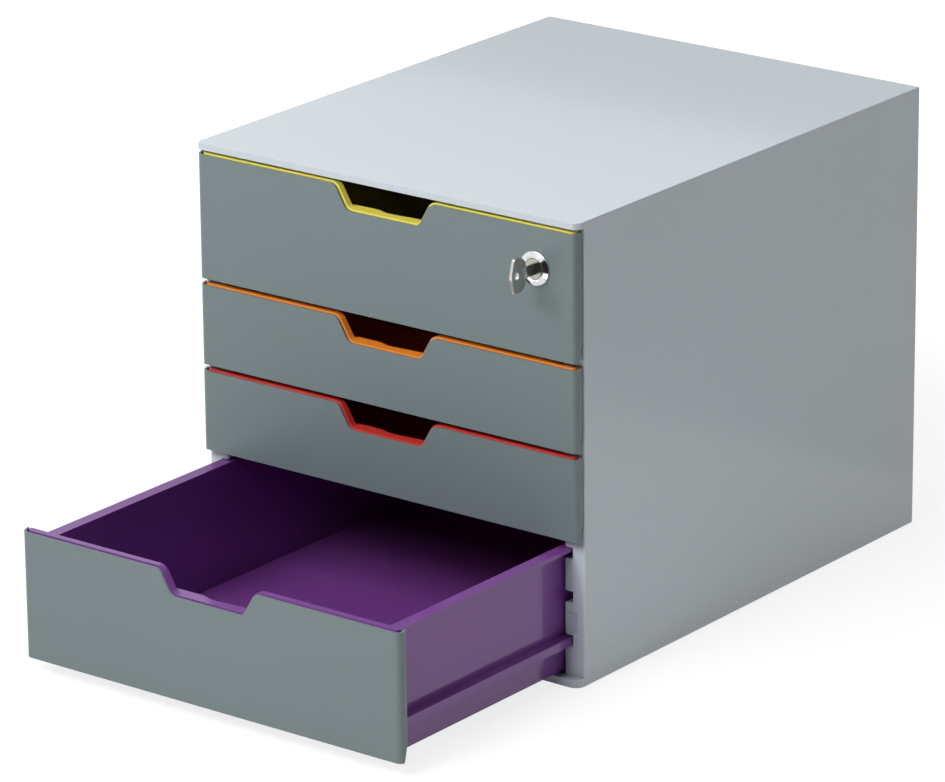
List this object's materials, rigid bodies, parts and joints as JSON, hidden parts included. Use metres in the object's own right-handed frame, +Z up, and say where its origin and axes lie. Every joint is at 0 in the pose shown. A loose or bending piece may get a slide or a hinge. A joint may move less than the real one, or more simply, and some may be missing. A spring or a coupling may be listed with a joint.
{
  "type": "desktop drawer unit",
  "caption": "Desk drawer tower in grey plastic with coloured pull-out trays behind grey fronts, finger notches, and a lock with its key on the top drawer.",
  "frame": {"origin": "middle of the casing's underside, on the base panel's lower face; the foot pads reach 0.8 mm below it", "axes": "+X to the right as seen from the front, +Y to the back, +Z up; the drawers pull out along -Y"},
  "size_m": [0.286, 0.5234, 0.2878],
  "materials": {
    "grey_plastic": "fine satin grain",
    "dark_grey_plastic": "fine satin grain",
    "clip_plastic": "satin",
    "yellow_plastic": "smooth gloss",
    "orange_plastic": "smooth gloss",
    "red_plastic": "smooth gloss",
    "purple_plastic": "smooth gloss",
    "foot_rubber": "matt",
    "lock_steel": "nickel plated",
    "lock_chrome": "polished chrome",
    "zinc_steel": "bright zinc plated",
    "wafer_brass": "plain brass",
    "key_steel": "nickel plated, brushed"
  },
  "bodies": {
    "casing": {"top_panel": "grey_plastic", "side_panel_left": "grey_plastic", "side_panel_right": "grey_plastic", "base_panel": "grey_plastic", "back_panel": "grey_plastic", "runner_rack_left": "grey_plastic", "runner_rack_right": "grey_plastic", "stop_clips_left": "clip_plastic", "stop_clips_right": "clip_plastic", "foot_pads": "foot_rubber", "lock_strike": "zinc_steel", "strike_screws": "zinc_steel"},
    "drawer_1": {"drawer_1_tray": "yellow_plastic", "drawer_1_front": "dark_grey_plastic", "lock_housing": "lock_steel", "lock_rosette": "lock_chrome", "lock_nut": "lock_steel"},
    "drawer_2": {"drawer_2_tray": "orange_plastic", "drawer_2_front": "dark_grey_plastic"},
    "drawer_3": {"drawer_3_tray": "red_plastic", "drawer_3_front": "dark_grey_plastic"},
    "drawer_4": {"drawer_4_tray": "purple_plastic", "drawer_4_front": "dark_grey_plastic"},
    "lock_cylinder": {"lock_plug": "lock_steel", "lock_wafers": "wafer_brass", "lock_cam": "zinc_steel", "cam_screw": "zinc_steel"},
    "key": {"key": "key_steel"}
  },
  "joints": [
    {"name": "drawer_1_slide", "type": "slide", "parent": "casing", "child": "drawer_1", "axis": [0, -1, 0], "range_m": [0, 0.26]},
    {"name": "drawer_2_slide", "type": "slide", "parent": "casing", "child": "drawer_2", "axis": [0, -1, 0], "range_m": [0, 0.26]},
    {"name": "drawer_3_slide", "type": "slide", "parent": "casing", "child": "drawer_3", "axis": [0, -1, 0], "range_m": [0, 0.26]},
    {"name": "drawer_4_slide", "type": "slide", "parent": "casing", "child": "drawer_4", "axis": [0, -1, 0], "range_m": [-0.1674, 0.0926]},
    {"name": "lock_turn", "type": "hinge", "parent": "drawer_1", "child": "lock_cylinder", "pos_m": [0.1135, -0.178, 0.2555], "axis": [0, 1, 0], "range_deg": [0, 90]},
    {"name": "key_slide", "type": "slide", "parent": "lock_cylinder", "child": "key", "axis": [0, -1, 0], "range_m": [0, 0.03]}
  ]
}
